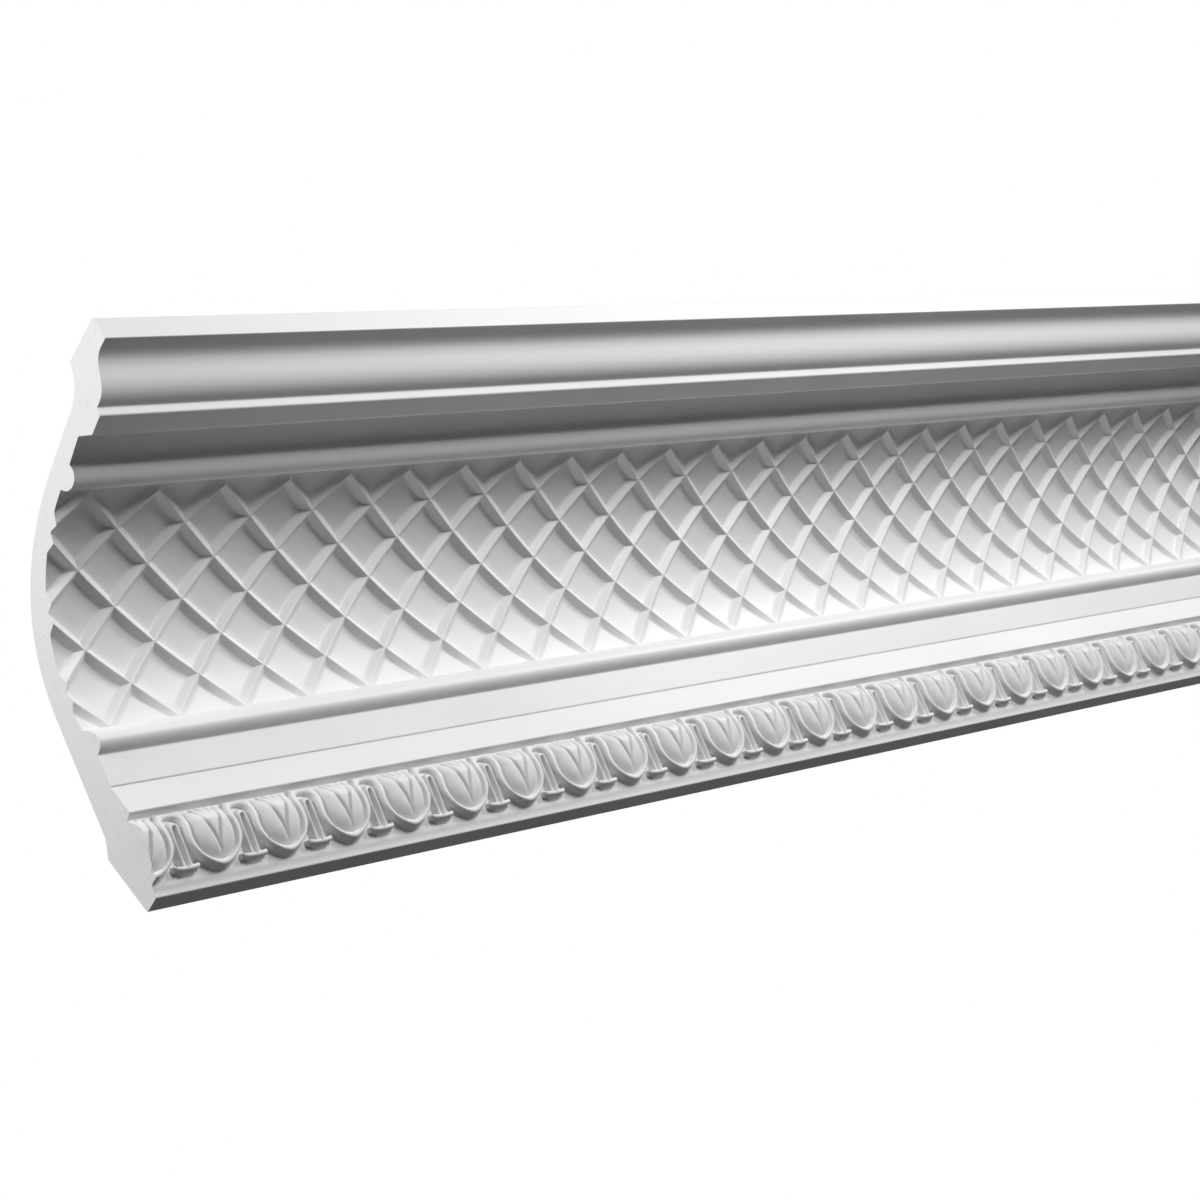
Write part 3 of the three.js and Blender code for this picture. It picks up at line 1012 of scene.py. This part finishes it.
def primed_coat(finish):
    """Matt white priming: a faint drift of tone, a fine grain and a few pinholes."""
    material, nodes, links, main_shader = shader("Primed coat", finish.coat, COAT_ROUGHNESS)
    drift = texture(nodes, links, "ShaderNodeTexNoise", DRIFT_SCALE, Detail=DRIFT_DETAIL)
    share = remap(nodes, links, drift.outputs["Fac"], DRIFT_SPAN)
    links.new(tint(nodes, links, share, finish.coat, COAT_DRIFT), main_shader.inputs["Base Color"])
    sheens = (COAT_ROUGHNESS - SHEEN_DRIFT, COAT_ROUGHNESS + SHEEN_DRIFT)
    sheen = remap(nodes, links, drift.outputs["Fac"], SHEEN_SPAN, sheens)
    links.new(sheen, main_shader.inputs["Roughness"])
    grain = texture(nodes, links, "ShaderNodeTexNoise", GRAIN_SCALE, Detail=GRAIN_DETAIL)
    pits = texture(nodes, links, "ShaderNodeTexVoronoi", PIT_SCALE)
    hole = remap(nodes, links, pits.outputs["Distance"], (0, PIT_SIZE))
    under = bump(nodes, links, hole, finish.grain)
    links.new(bump(nodes, links, grain.outputs["Fac"], finish.grain, under), main_shader.inputs["Normal"])
    return material


def sawn_core(finish):
    """Dense foam cut by a saw: open pores, a few darker specks and faint saw lines."""
    material, nodes, links, main_shader = shader("Sawn core", finish.core, CORE_ROUGHNESS)
    cells = texture(nodes, links, "ShaderNodeTexVoronoi", PORE_SCALE)
    pore = remap(nodes, links, cells.outputs["Distance"], (0, PORE_SIZE))
    rough = {"Detail": SPECK_DETAIL, "Roughness": SPECK_ROUGHNESS}
    specks = texture(nodes, links, "ShaderNodeTexNoise", SPECK_SCALE, **rough)
    share = remap(nodes, links, specks.outputs["Fac"], SPECK_SPAN)
    links.new(tint(nodes, links, share, finish.core, CORE_DRIFT), main_shader.inputs["Base Color"])
    lines = texture(nodes, links, "ShaderNodeTexWave", SAW_SCALE, Distortion=SAW_DISTORTION)
    lines.bands_direction = "Y"
    under = bump(nodes, links, lines.outputs["Fac"], SAW_DEPTH * finish.pores)
    links.new(bump(nodes, links, pore, finish.pores, under), main_shader.inputs["Normal"])
    return material


def bare_back(finish):
    """Unpainted moulded skin, a little warmer and rougher than the coat."""
    material, nodes, links, main_shader = shader("Bare back", finish.back, BACK_ROUGHNESS)
    drift = texture(nodes, links, "ShaderNodeTexNoise", DRIFT_SCALE, Detail=BACK_DRIFT_DETAIL)
    tone = tint(nodes, links, drift.outputs["Fac"], finish.back, BACK_DRIFT)
    links.new(tone, main_shader.inputs["Base Color"])
    grain = texture(nodes, links, "ShaderNodeTexNoise", BACK_GRAIN_SCALE, Detail=BACK_GRAIN_DETAIL)
    raised = bump(nodes, links, grain.outputs["Fac"], BACK_GRAIN * finish.grain)
    links.new(raised, main_shader.inputs["Normal"])
    return material


# Casting

class CORNICE_OT_casting(bpy.types.Operator):
    """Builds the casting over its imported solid"""

    bl_idname = "cornice.casting"
    bl_label = "Cornice Casting"

    def execute(self, context):
        sizes = context.scene.cornice_sizes
        finish = context.scene.cornice_finish
        coat = primed_coat(finish)
        count = math.ceil(sizes.length / sizes.pitch) + SPARE_REPEATS
        start = (EGG_SHIFT - sizes.length / 2 - sizes.pitch, 0, 0)
        mesh = repeated(repeat_mesh(sizes), count, start, (sizes.pitch, 0, 0), coat)
        mesh.materials.clear()
        for material in (coat, sawn_core(finish), bare_back(finish)):
            mesh.materials.append(material)
        saw(mesh, sizes.length)
        mesh.name = "cornice_casting"
        casting = bpy.data.objects.new("cornice_casting", mesh)
        context.scene.collection.objects.link(casting)
        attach(casting, BODY)
        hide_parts(NODE)
        return {"FINISHED"}


# Studio

def studio_floor(studio):
    """A wide floor, as far below the ceiling as the room is high."""
    half = studio.floor_size / 2
    level = WALL_FACE_MIDDLE - studio.room
    corners = [(x * half, y * half, level) for x, y in ((-1, -1), (1, -1), (1, 1), (-1, 1))]
    mesh = bpy.data.meshes.new("studio_floor")
    mesh.from_pydata(corners, [], [(0, 1, 2, 3)])
    paint, _, _, _ = shader("Studio floor", studio.floor, FLOOR_ROUGHNESS)
    mesh.materials.append(paint)
    floor = bpy.data.objects.new("studio_floor", mesh)
    bpy.context.scene.collection.objects.link(floor)
    floor.visible_diffuse = False


def area_light(name, power, place, size=LIGHT_SIZE):
    """A square soft light at a place, turned to the casting."""
    lamp = bpy.data.lights.new(name, "AREA")
    lamp.energy = power
    lamp.size = size
    light = bpy.data.objects.new(name, lamp)
    light.location = place
    light.rotation_euler = (Vector(LIGHT_AIM) - Vector(place)).to_track_quat("-Z", "Y").to_euler()
    bpy.context.scene.collection.objects.link(light)


def rear_light(strength):
    """A soft light from above and behind."""
    sun = bpy.data.lights.new("rear", "SUN")
    sun.energy = strength
    sun.angle = REAR_SPREAD
    light = bpy.data.objects.new("rear", sun)
    light.rotation_euler = (-Vector(REAR_FROM)).to_track_quat("-Z", "Y").to_euler()
    bpy.context.scene.collection.objects.link(light)


def plain_world(ambient):
    """A world that is white behind the part and dim as a light."""
    world = bpy.data.worlds.new("Studio")
    world.use_nodes = True
    nodes = world.node_tree.nodes
    links = world.node_tree.links
    dim = nodes["Background"]
    dim.inputs["Color"].default_value = (1, 1, 1, 1)
    dim.inputs["Strength"].default_value = ambient
    white = nodes.new("ShaderNodeBackground")
    white.inputs["Color"].default_value = (1, 1, 1, 1)
    path = nodes.new("ShaderNodeLightPath")
    mix = nodes.new("ShaderNodeMixShader")
    links.new(path.outputs["Is Camera Ray"], mix.inputs["Fac"])
    links.new(dim.outputs["Background"], mix.inputs[1])
    links.new(white.outputs["Background"], mix.inputs[2])
    links.new(mix.outputs["Shader"], nodes["World Output"].inputs["Surface"])
    return world


def photo_camera(focal):
    """The camera at the photograph's viewing angle."""
    lens = bpy.data.cameras.new("camera")
    lens.lens = focal
    lens.dof.use_dof = False
    camera = bpy.data.objects.new("camera", lens)
    forward = Vector(CAMERA_FORWARD).normalized()
    right = forward.cross(Vector(CAMERA_UP)).normalized()
    turn = Matrix((right, right.cross(forward), -forward)).transposed()
    camera.matrix_world = Matrix.Translation(CAMERA_PLACE) @ turn.to_4x4()
    bpy.context.scene.collection.objects.link(camera)
    return camera


class CORNICE_OT_studio(bpy.types.Operator):
    """Sets up the floor, the light and the camera"""

    bl_idname = "cornice.studio"
    bl_label = "Cornice Studio"

    def execute(self, context):
        scene = context.scene
        studio = scene.cornice_studio
        studio_floor(studio)
        area_light("key", studio.key, KEY_PLACE)
        area_light("side", studio.side, SIDE_PLACE, SIDE_SIZE)
        area_light("fill", studio.fill, FILL_PLACE)
        rear_light(studio.rear)
        scene.world = plain_world(studio.ambient)
        scene.view_settings.view_transform = "Standard"
        scene.camera = photo_camera(studio.lens)
        return {"FINISHED"}


# Panel and registration

class CORNICE_PT_panel(bpy.types.Panel):
    """Sizes, finish and studio of the cornice"""

    bl_idname = "CORNICE_PT_panel"
    bl_label = "Cornice"
    bl_space_type = "VIEW_3D"
    bl_region_type = "UI"
    bl_category = "Cornice"

    def draw(self, context):
        scene = context.scene
        for group in (scene.cornice_sizes, scene.cornice_finish, scene.cornice_studio):
            box = self.layout.box()
            for name in group.__annotations__:
                box.prop(group, name)
        self.layout.operator(CORNICE_OT_casting.bl_idname)
        self.layout.operator(CORNICE_OT_studio.bl_idname)


CLASSES = (
    CorniceSizes,
    CorniceFinish,
    CorniceStudio,
    CORNICE_OT_casting,
    CORNICE_OT_studio,
    CORNICE_PT_panel,
)


def register():
    """Makes the sizes, the operators and the panel known."""
    for cls in CLASSES:
        bpy.utils.register_class(cls)
    bpy.types.Scene.cornice_sizes = PointerProperty(type=CorniceSizes)
    bpy.types.Scene.cornice_finish = PointerProperty(type=CorniceFinish)
    bpy.types.Scene.cornice_studio = PointerProperty(type=CorniceStudio)


def unregister():
    """Takes them away again."""
    del bpy.types.Scene.cornice_studio
    del bpy.types.Scene.cornice_finish
    del bpy.types.Scene.cornice_sizes
    for cls in reversed(CLASSES):
        bpy.utils.unregister_class(cls)


def main():
    """Builds the cornice and its studio."""
    register()
    bpy.ops.cornice.casting()
    bpy.ops.cornice.studio()


if __name__ == "__main__":
    main()
